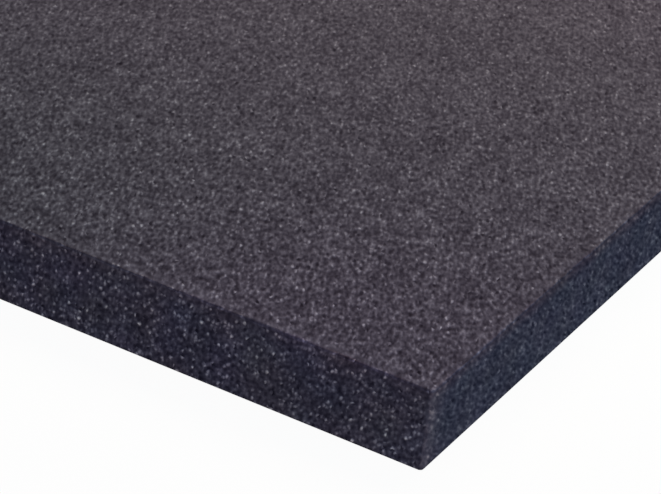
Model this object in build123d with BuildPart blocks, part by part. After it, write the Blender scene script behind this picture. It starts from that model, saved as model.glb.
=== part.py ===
from build123d import *
import os

# A flat slab of dark polyethylene foam, sawn square from larger stock and lying on its underside.
# The origin is at the middle of the underside, X and Y run along the sides, and Z runs up.

# The slab
sheet_width = 300
sheet_length = 400
sheet_thickness = 30

# How far the cut foam gives way along its edges
corner_radius = 1.5
top_rim_radius = 0.5
bottom_rim_radius = 0.3

# The sawn slab, with its upright corners eased and both rims rounded all the way round
with BuildPart() as foam_sheet:
    with BuildSketch() as sheet_outline:
        RectangleRounded(sheet_width, sheet_length, corner_radius)
    extrude(amount=sheet_thickness)
    top_rim = foam_sheet.faces().sort_by(Axis.Z)[-1].edges()
    fillet(top_rim, radius=top_rim_radius)
    bottom_rim = foam_sheet.faces().sort_by(Axis.Z)[0].edges()
    fillet(bottom_rim, radius=bottom_rim_radius)

foam_sheet.part.label = "foam_sheet"

os.makedirs("parts", exist_ok=True)
export_step(foam_sheet.part, "parts/foam_sheet.step")
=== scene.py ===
import bmesh
import bpy
import math
import random
from mathutils import Matrix, Vector, noise
from types import SimpleNamespace


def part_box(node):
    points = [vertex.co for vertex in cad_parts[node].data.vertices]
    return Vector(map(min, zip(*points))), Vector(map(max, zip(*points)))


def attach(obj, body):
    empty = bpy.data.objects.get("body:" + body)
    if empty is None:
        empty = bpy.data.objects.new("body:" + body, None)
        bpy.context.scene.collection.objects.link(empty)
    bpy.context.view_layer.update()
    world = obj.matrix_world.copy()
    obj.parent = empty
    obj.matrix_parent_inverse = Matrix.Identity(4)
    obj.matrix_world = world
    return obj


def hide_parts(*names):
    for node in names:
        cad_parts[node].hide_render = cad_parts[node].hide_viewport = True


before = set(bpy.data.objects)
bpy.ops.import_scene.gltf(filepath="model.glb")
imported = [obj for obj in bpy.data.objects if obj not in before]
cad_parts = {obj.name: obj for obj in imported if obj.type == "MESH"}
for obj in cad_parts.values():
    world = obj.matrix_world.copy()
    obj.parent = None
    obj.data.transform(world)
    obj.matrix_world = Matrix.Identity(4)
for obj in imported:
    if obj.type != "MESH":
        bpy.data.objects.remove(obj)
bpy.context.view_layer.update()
low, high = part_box("foam_sheet")
span = high - low
middle = (low + high) / 2
print("frame loaded, sheet is", [round(side * 1000, 1) for side in span], "mm")


class Wire:  # one output of a node, so that shader sums read as plain Python
    def __init__(self, finish, socket):
        self.finish = finish
        self.socket = socket

    def other(self, name):  # another output of the same node
        return Wire(self.finish, self.socket.node.outputs[name])

    def __add__(self, other):
        return self.finish.maths("ADD", self, other)

    def __radd__(self, other):
        return self.finish.maths("ADD", other, self)

    def __sub__(self, other):
        return self.finish.maths("SUBTRACT", self, other)

    def __rsub__(self, other):
        return self.finish.maths("SUBTRACT", other, self)

    def __mul__(self, other):
        return self.finish.maths("MULTIPLY", self, other)

    def __rmul__(self, other):
        return self.finish.maths("MULTIPLY", other, self)

    def __pow__(self, other):
        return self.finish.maths("POWER", self, other)

    def __rpow__(self, other):
        return self.finish.maths("POWER", other, self)

    def __abs__(self):
        return self.finish.maths("ABSOLUTE", self, 0)


class Finish:  # the nodes of a material or of the world
    def __init__(self, block):
        block.use_nodes = True
        self.tree = block.node_tree
        self.tree.nodes.clear()

    def node(self, kind, settings, sockets, out=0):
        made = self.tree.nodes.new(kind)
        for key, value in settings.items():
            setattr(made, key, value)
        for key, value in sockets.items():
            if isinstance(value, Wire):
                self.tree.links.new(value.socket, made.inputs[key])
            else:
                made.inputs[key].default_value = value
        return Wire(self, made.outputs[out]) if made.outputs else None

    def maths(self, operation, first, second):
        return self.node("ShaderNodeMath", {"operation": operation}, {0: first, 1: second})

    def lowest(self, first, second):
        return self.maths("MINIMUM", first, second)

    def highest(self, first, second):
        return self.maths("MAXIMUM", first, second)

    def fade(self, value, start, end):  # 0 at start, 1 at end, eased between them; start may be the larger
        sockets = {"Value": value, "From Min": start, "From Max": end}
        return self.node("ShaderNodeMapRange", {"interpolation_type": "SMOOTHSTEP"}, sockets)

    def noise(self, place, size, detail, roughness=0.5, out=0):
        sockets = {"Vector": place, "Scale": 1 / size, "Detail": detail, "Roughness": roughness}
        return self.node("ShaderNodeTexNoise", {}, sockets, out)

    def blend(self, share, first, second):  # a colour between two; 6, 7 and 2 are Mix's sockets for colours
        return self.node("ShaderNodeMix", {"data_type": "RGBA"}, {0: share, 6: first, 7: second}, 2)

    def vector(self, operation, first, second):
        return self.node("ShaderNodeVectorMath", {"operation": operation}, {0: first, 1: second})


def keepMesh(bm, name):
    mesh = bpy.data.meshes.new(name)
    bm.to_mesh(mesh)
    bm.free()
    made = bpy.data.objects.new(name, mesh)
    bpy.context.collection.objects.link(made)
    return made


# The sheet's form, in metres
sheetForm = {
    "cornerRadius": 0.0015,
    "topRimRadius": 0.0005,
    "bottomRimRadius": 0.0003,
    "cornerSteps": 5,
    "topRimSteps": 3,
    "bottomRimSteps": 2,
    "column": 0.0009,  # width of a face along the sides
    "row": 0.0011,  # height of a face on the sides
    "topFace": 2,  # columns to one face of the top
    "underFace": 24,  # columns to one face of the underside
    "jitter": 0.28,  # how far a corner strays, as a share of its face
    "pitSpacing": 0.0021,
    "pitDepth": 0.00018,
    "pitWidth": 0.55,  # as a share of the spacing
    "rimPits": 0.35,  # how deep pits are at a rim, as a share
    "rimWidth": 0.004,
    "raggedLength": 0.0045,  # the rims wander a little
    "ragged": 0.0004,
    "swayLength": 0.055,  # slow waves left by the saw
    "sway": 0.00018,
    "foot": 0.0015,  # the sheet stays as cut up to here
    "seed": 11,
}


straight = 0.999  # an edge with this share of its length along an axis counts as along it
near = 1e-6  # metres


def along(edge, axis):
    way = edge.verts[1].co - edge.verts[0].co
    return abs(way[axis]) > straight * way.length


def flatAt(edge, level):
    return all(abs(vert.co.z - level) < near for vert in edge.verts)


def roundEdges(bm, edges, radius, steps):
    bmesh.ops.bevel(bm, geom=edges, offset=radius, segments=steps, profile=0.5, affect="EDGES", material=-1)


def cutSheet(form):
    bm = bmesh.new()
    bmesh.ops.create_cube(bm, size=1)
    bmesh.ops.scale(bm, vec=span, verts=bm.verts)
    bmesh.ops.translate(bm, vec=middle, verts=bm.verts)
    roundEdges(bm, [edge for edge in bm.edges if along(edge, 2)], form["cornerRadius"], form["cornerSteps"])
    for level, name in ((high.z, "topRim"), (low.z, "bottomRim")):
        rim = [edge for edge in bm.edges if flatAt(edge, level)]
        roundEdges(bm, rim, form[name + "Radius"], form[name + "Steps"])

    # the wall is divided by itself, and its two caps get wider faces
    caps = [face for face in bm.faces if face.calc_area() > span.x * span.y / 2]
    bmesh.ops.delete(bm, geom=caps, context="FACES_ONLY")
    runs = [side - 2 * form["cornerRadius"] for side in span[:2]]
    columns = [round(run / form["column"]) for run in runs]
    rise = span.z - form["topRimRadius"] - form["bottomRimRadius"]
    for axis, count in ((0, columns[0]), (1, columns[1]), (2, round(rise / form["row"]))):
        long = [edge for edge in bm.edges if along(edge, axis) and edge.calc_length() > rise / 2]
        bmesh.ops.subdivide_edges(bm, edges=long, cuts=count - 1, use_grid_fill=True)
    for level, every in ((high.z, form["topFace"]), (low.z, form["underFace"])):
        counts = [round(count / every) for count in columns]
        grid = bmesh.ops.create_grid(bm, x_segments=counts[0], y_segments=counts[1], size=0.5)
        bmesh.ops.scale(bm, vec=(*runs, 1), verts=grid["verts"])
        bmesh.ops.translate(bm, vec=(middle.x, middle.y, level), verts=grid["verts"])
        gap = [edge for edge in bm.edges if edge.is_boundary and flatAt(edge, level)]
        bmesh.ops.triangle_fill(bm, use_beauty=True, use_dissolve=False, edges=gap, normal=(0, 0, 1))
    bmesh.ops.recalc_face_normals(bm, faces=bm.faces)
    bm.normal_update()
    print("sheet cut,", len(bm.faces), "faces")
    return bm


def eased(value):
    value = min(max(value, 0), 1)
    return value * value * (3 - 2 * value)


def roughen(bm, form):  # pits and lumps of cut cells, slow waves of the saw and ragged rims
    draw = random.Random(form["seed"])
    for vert in bm.verts:
        place, normal = vert.co.copy(), vert.normal.copy()
        free = eased((place.z - low.z) / form["foot"])  # the underside stays flat on its bench
        toRim = sorted((high.x - abs(place.x), high.y - abs(place.y), high.z - place.z))[1]
        away = eased(toRim / form["rimWidth"])
        firm = form["rimPits"] + (1 - form["rimPits"]) * away
        gaps, points = noise.voronoi(place / form["pitSpacing"])
        pit = 1 - eased(gaps[0] / form["pitWidth"])
        lift = -form["pitDepth"] * pit * noise.cell(points[0]) * firm
        lift += form["sway"] * noise.noise(place / form["swayLength"])
        lift += form["ragged"] * noise.noise(place / form["raggedLength"]) * (1 - away)
        stray = Vector([draw.uniform(-1, 1) for axis in range(3)]) * form["jitter"] * form["column"] * firm
        stray -= normal * stray.dot(normal)
        vert.co += (normal * lift + stray) * free
    print("sheet roughened")


# The foam's look: sizes in metres, tones as powers of e
foamLook = {
    "violet": (0.0660, 0.0568, 0.0795, 1),  # on the top, in fields
    "slate": (0.0612, 0.0590, 0.0755, 1),
    "hueField": 0.25,  # size of the violet and slate fields
    "hueShift": (1.375, 3.75, 1.595),  # where they lie
    "hueEdge": (0.35, 0.65),  # slate up to the first, violet from the second
    "sawn": (0.0630, 0.0580, 0.0775, 1),  # on the sides and ends
    "tintField": 0.012,  # size of the warmer and cooler patches there
    "tintTone": (0.2, 0, 0.2),  # how far they are redder and bluer
    "edgeHighlightColour": (0.0800, 0.0584, 0.0710, 1),  # painted highlight colour, at the rims and at the upright corners
    "mottle": 0.018,  # size of the paler and darker patches
    "mottleTone": 0.5,
    "cell": (0.0013, 0.007, 0.0014),  # across, along the way the foam rose, and up
    "rise": (-31, 0, 25),  # turn of that way from the long side, in degrees
    "crush": 0.5,  # how far cells are pushed out of shape, in cells
    "crushSize": 0.77,  # and over what length
    "cupReach": (0.75, 0.1),  # a cell starts and is palest at these distances from its middle
    "cup": 0.3,  # how much paler a cell is at its middle
    "paintedPitShade": 1.1,  # painted shade: how much darker the deepest cells are
    "grainFine": 0.3,  # share of finer grain
    "grainWay": (-0.445, 0.896, 0),  # the top's grain fades along this way
    "grainEnds": (-0.446, 0.104),  # between these places
    "grainShare": (1.47, 0.74),  # from the first to the second of these strengths
    # the next nine are for the top, the long sides and the sawn ends
    "grain": (2.6, 2.6, 2.8),
    "paintedGlints": (0.87, 0.82, 1.84),  # painted glints: how much paler still the palest cells are
    "rare": (5, 5, 2.5),  # how few of them there are
    "patchy": (0, 0.6, 1),  # share of the warmer and cooler patches
    "redSpread": (0.95, 1.03, 0.98),  # pale cells are greyer than the body
    "blueSpread": (0.925, 0.82, 0.86),
    "underRimHighlightTint": (0, 1, 0.3),  # painted highlight tint, just under the rim
    "turnHighlightTint": (0, 0.4, 0.3),  # painted highlight tint, on the rim's own edge
    # painted highlight on the rim's own edge of the long sides
    "turnHighlight": (0, 0.14, 0),
    "faceDepth": (0.0012, 0.0006),  # a face's own look starts and is full at these depths
    "rimWidth": 0.007,
    "rimTurn": 0.0012,  # width of the rim's own edge
    "rimCalm": 0.15,  # how much weaker the grain is there
    "endRimCalm": 0.37,
    # painted highlight: the top is paler along its rims, most along the ends
    "rimHighlight": 0.08,
    "endRimHighlight": 0.35,
    "cornerWidth": 0.014,  # along the long sides
    "cornerLean": 10,  # how many times narrower it is along the ends
    # painted highlight up the upright corners: paler, and shifted to the highlight colour
    "cornerHighlight": 0.36,
    "cornerHighlightTint": 0.6,
    "roughness": (0.95, 0.75),  # of the body and of the pale cells
    "bump": 0.0001,
}
noiseMiddle = 0.5  # a noise swings about this


def markZones(finish, place, look):
    apart = finish.node("ShaderNodeSeparateXYZ", {}, {"Vector": place})
    fromSide = high.x - abs(apart)
    fromEnd = high.y - abs(apart.other("Y"))
    fromTop = high.z - apart.other("Z")
    toRim = finish.lowest(finish.highest(fromSide, fromEnd), fromTop)
    toRim = finish.highest(finish.lowest(fromSide, fromEnd), toRim)  # the second least of the three
    toCorner = finish.highest(look["cornerLean"] * fromSide, fromEnd)
    zone = SimpleNamespace()
    zone.top = finish.fade(fromTop, *look["faceDepth"])
    zone.sides = finish.fade(fromSide, *look["faceDepth"])
    zone.ends = finish.fade(fromEnd, *look["faceDepth"]) * (1 - zone.sides)
    zone.rim = finish.fade(toRim, look["rimWidth"], 0)
    zone.turn = finish.fade(toRim, look["rimTurn"], 0)
    zone.endRim = finish.fade(fromEnd, look["rimWidth"], 0)
    zone.under = finish.fade(fromTop, look["rimWidth"], 0) * (1 - zone.top)
    zone.corner = finish.fade(toCorner, look["cornerWidth"], 0)
    return zone


def onFaces(zone, values, share=1):  # the top's value gives way to the others by this share
    top, sides, ends = values
    return top + share * (zone.sides * (sides - top) + zone.ends * (ends - top))


def drawCells(finish, place, look):  # cells are drawn out the way the foam rose, and crushed
    angles = [math.radians(angle) for angle in look["rise"]]
    sockets = {"Vector": place, "Rotation": angles, "Scale": look["cell"]}
    cells = finish.node("ShaderNodeMapping", {"vector_type": "TEXTURE"}, sockets)
    grain = finish.noise(cells, size=1, detail=1, roughness=look["grainFine"])
    push = finish.noise(cells, look["crushSize"], detail=0, out="Color")
    crushed = finish.vector("ADD", cells, finish.vector("MULTIPLY", push, [look["crush"]] * 3))
    cup = finish.node("ShaderNodeTexVoronoi", {}, {"Vector": crushed, "Scale": 1})
    chance = finish.node("ShaderNodeSeparateColor", {}, {"Color": cup.other("Color")})
    return grain, finish.fade(cup, *look["cupReach"]), chance


def shadeCells(finish, place, zone, look):  # painted glints in the palest cells, painted shade in the deepest cells
    grain, raised, chance = drawCells(finish, place, look)
    rare = onFaces(zone, look["rare"])
    # painted glints: the rare palest cells stand for cell walls catching the light
    paintedGlints = raised * chance ** rare
    # painted shade: the rare darkest cells stand for shade in deep pits
    paintedPitShade = raised * (1 - chance) ** rare
    level = (grain - noiseMiddle) * onFaces(zone, look["grain"])
    level = level + raised * look["cup"] + paintedGlints * onFaces(zone, look["paintedGlints"]) - paintedPitShade * look["paintedPitShade"]

    # the grain fades along the top and is calmer at the rims
    sockets = {0: place, 1: look["grainWay"]}
    onward = finish.node("ShaderNodeVectorMath", {"operation": "DOT_PRODUCT"}, sockets, "Value")
    strong, weak = look["grainShare"]
    share = strong + finish.fade(onward, *look["grainEnds"]) * (weak - strong)
    calm = look["rimCalm"] + zone.top * zone.endRim * (look["endRimCalm"] - look["rimCalm"])
    level = level * (1 + zone.top * (share - 1)) * (1 - zone.rim * calm)

    mottle = finish.noise(place, look["mottle"], detail=2)
    level = level + (mottle - noiseMiddle) * look["mottleTone"]
    # painted highlight along the top's rims and the rim's own edge, and up the upright corners
    rimHighlight = look["rimHighlight"] + zone.endRim * (look["endRimHighlight"] - look["rimHighlight"])
    rimHighlight = zone.rim * (1 - zone.turn) * rimHighlight + zone.turn * onFaces(zone, look["turnHighlight"])
    level = level + finish.highest(zone.top * rimHighlight, zone.corner * look["cornerHighlight"])
    return level, paintedGlints


def colourFoam(finish, place, zone, level, look):
    hue = finish.noise(finish.vector("ADD", place, look["hueShift"]), look["hueField"], detail=0)
    body = finish.blend(finish.fade(hue, *look["hueEdge"]), look["slate"], look["violet"])
    body = finish.blend(zone.top, look["sawn"], body)
    # painted highlight: the rims and the upright corners shift to the highlight colour
    underRimHighlightTint = zone.under * onFaces(zone, look["underRimHighlightTint"])
    turnHighlightTint = zone.turn * zone.top * onFaces(zone, look["turnHighlightTint"])
    highlightTint = finish.highest(zone.corner * look["cornerHighlightTint"], underRimHighlightTint + turnHighlightTint)
    body = finish.blend(highlightTint, body, look["edgeHighlightColour"])

    # each channel is lifted by the cells and by the tint of the patches
    tint = finish.noise(place, look["tintField"], detail=0, out="Color")
    tint = finish.node("ShaderNodeSeparateColor", {}, {"Color": tint})
    patchy = onFaces(zone, look["patchy"])
    redPower = onFaces(zone, look["redSpread"], 1 - zone.top)
    bluePower = onFaces(zone, look["blueSpread"], 1 - zone.top)
    tones = {}
    for name, power, strength in zip(("Red", "Green", "Blue"), (redPower, 1, bluePower), look["tintTone"]):
        tones[name] = math.e ** (level * power + patchy * strength * (tint.other(name) - noiseMiddle))
    return finish.vector("MULTIPLY", body, finish.node("ShaderNodeCombineColor", {}, tones))


def foamFinish(look):
    material = bpy.data.materials.new("cutFoam")
    finish = Finish(material)
    place = finish.node("ShaderNodeTexCoord", {}, {}, "Object")
    zone = markZones(finish, place, look)
    level, paintedGlints = shadeCells(finish, place, zone, look)
    rough, smooth = look["roughness"]
    bump = finish.node("ShaderNodeBump", {}, {"Strength": 1, "Distance": look["bump"], "Height": level})
    sockets = {
        "Base Color": colourFoam(finish, place, zone, level, look),
        "Roughness": rough + paintedGlints * (smooth - rough),
        "Specular IOR Level": 0,  # open cells hold no shine
        "Normal": bump,
    }
    skin = finish.node("ShaderNodeBsdfPrincipled", {}, sockets)
    finish.node("ShaderNodeOutputMaterial", {}, {"Surface": skin})
    return material


cut = cutSheet(sheetForm)
roughen(cut, sheetForm)
sheet = keepMesh(cut, "foamSheet")
sheet.data.shade_smooth()
sheet.data.materials.append(foamFinish(foamLook))
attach(sheet, "root")
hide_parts("foam_sheet")
print("foam sheet made")

# The studio: lamp levels are shares of the light at which a colour renders as written
studio = {
    "white": (1, 1, 1, 1),  # the floor and backdrop, as the camera sees them
    "floorHalf": 8,
    "floorMatt": (0.95, 0.95, 0.95, 1),  # the part of the floor that takes shadows
    "floorShade": 0.04,  # and its share of what the camera sees
    "floorGlow": (0.26, 0.23, 0.245, 1),  # light that the white floor gives back to the sheet
    "sky": (0.18, 0.22, 0.33, 1),
    "lamps": {  # stands and aims are from the sheet's middle
        "overhead": {
            "stand": (0, 0.4, 0.66),
            "aim": (0, 0.4, 0),
            "size": 0.6,
            "level": 1.705,
            "colour": (1, 0.865, 0.6),
        },
        "rightFill": {
            "stand": (1.55, 0, 0.3),
            "aim": (0, 0, 0),
            "size": 0.6,
            "level": 0.274,
            "colour": (0.485, 0.793, 1),
        },
        "leftFill": {
            "stand": (0.4, -0.85, 0.3),
            "aim": (0, 0, 0),
            "size": 0.4,
            "level": 0.0956,
            "colour": (0.866, 0.878, 1),
        },
    },
}


def directly(finish):  # rays that reach the camera straight or by a clear reflection
    ray = finish.node("ShaderNodeLightPath", {}, {}, "Is Camera Ray")
    mirrored = finish.highest(ray.other("Is Glossy Ray"), ray.other("Is Transmission Ray"))
    return finish.highest(ray, mirrored)


def layFloor(values):
    bm = bmesh.new()
    bmesh.ops.create_grid(bm, x_segments=1, y_segments=1, size=values["floorHalf"])
    bmesh.ops.translate(bm, vec=(0, 0, low.z), verts=bm.verts)
    floor = keepMesh(bm, "floor")
    material = bpy.data.materials.new("whiteFloor")
    finish = Finish(material)
    seen = directly(finish)
    matt = finish.node("ShaderNodeBsdfDiffuse", {}, {"Color": values["floorMatt"]})
    light = finish.blend(seen, values["floorGlow"], values["white"])
    glow = finish.node("ShaderNodeEmission", {}, {"Color": light, "Strength": 1})
    both = finish.node("ShaderNodeMixShader", {}, {0: 1 - seen * values["floorShade"], 1: matt, 2: glow})
    finish.node("ShaderNodeOutputMaterial", {}, {"Surface": both})
    floor.data.materials.append(material)


def hangLamps(values):
    for name, lamp in values["lamps"].items():
        stand = Vector(lamp["stand"])
        reach = stand - Vector(lamp["aim"])
        data = bpy.data.lights.new(name, "AREA")
        data.size = lamp["size"]
        data.color = lamp["colour"]
        data.energy = lamp["level"] * math.pi ** 2 * reach.length_squared  # holds the level at the aim
        made = bpy.data.objects.new(name, data)
        made.location = middle + stand
        made.rotation_euler = reach.to_track_quat("Z", "Y").to_euler()
        made.visible_camera = False
        bpy.context.collection.objects.link(made)


def lightSky(values):
    world = bpy.data.worlds.new("studio")
    finish = Finish(world)
    colour = finish.blend(directly(finish), values["sky"], values["white"])
    backdrop = finish.node("ShaderNodeBackground", {}, {"Color": colour})
    finish.node("ShaderNodeOutputWorld", {}, {"Surface": backdrop})
    bpy.context.scene.world = world


layFloor(studio)
hangLamps(studio)
lightSky(studio)
print("studio lit")

# The camera, from the photo's perspective; its stand is in sheet thicknesses from the near corner
viewpoint = {
    "lens": 185.1,
    "pitch": 29.7,
    "yaw": 26.405,
    "roll": 7.174,
    "stand": (12.222, -27.415, 19.67),
}


def placeCamera(values):
    data = bpy.data.cameras.new("camera")
    data.lens = values["lens"]
    camera = bpy.data.objects.new("camera", data)
    nearCorner = Vector((high.x, low.y, low.z))
    stand = nearCorner + span.z * Vector(values["stand"])
    turns = (("Z", values["yaw"]), ("X", 90 - values["pitch"]), ("Z", values["roll"]))
    turned = Matrix.Translation(stand)
    for axis, angle in turns:
        turned = turned @ Matrix.Rotation(math.radians(angle), 4, axis)
    camera.matrix_world = turned
    bpy.context.collection.objects.link(camera)
    bpy.context.scene.camera = camera


placeCamera(viewpoint)
bpy.context.scene.view_settings.view_transform = "Standard"
print("camera placed")
